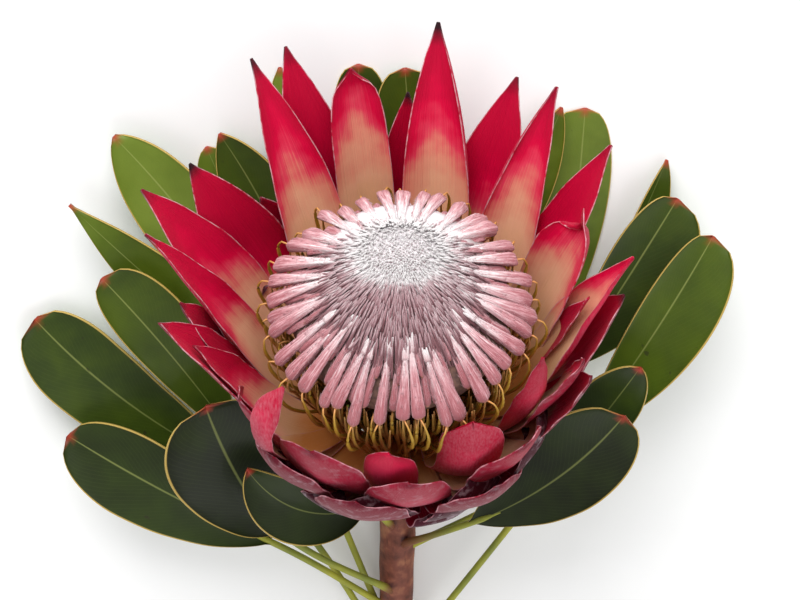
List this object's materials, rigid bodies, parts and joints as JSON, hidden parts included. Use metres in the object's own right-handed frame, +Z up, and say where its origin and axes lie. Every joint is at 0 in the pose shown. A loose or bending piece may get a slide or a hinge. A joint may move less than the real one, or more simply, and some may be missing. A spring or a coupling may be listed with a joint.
{
  "type": "king protea flower",
  "caption": "Large cut flower on a woody stem with broad leaves, lying down: a bowl of pointed crimson bracts round a dome of hairy pink and white florets.",
  "frame": {"origin": "on the table, below the middle of the whole flower's outline", "axes": "+Z up from the table the flower lies on; +Y from the stem's cut end towards the head; +X to the right as seen from above"},
  "size_m": [0.2945, 0.3326, 0.1385],
  "materials": {
    "stem": "matte",
    "leaf": "satin",
    "bracts": "satin",
    "florets": "matte",
    "styles": "satin"
  },
  "bodies": {
    "root": {"stem": "stem", "leaf_01": "leaf", "leaf_02": "leaf", "leaf_03": "leaf", "leaf_04": "leaf", "leaf_05": "leaf", "leaf_06": "leaf", "leaf_07": "leaf", "leaf_08": "leaf", "leaf_09": "leaf", "leaf_10": "leaf", "leaf_11": "leaf", "leaf_12": "leaf", "leaf_13": "leaf", "leaf_14": "leaf", "leaf_15": "leaf", "leaf_16": "leaf", "leaf_17": "leaf", "leaf_18": "leaf", "leaf_19": "leaf", "bracts": "bracts", "florets": "florets", "styles": "styles"}
  },
  "joints": []
}
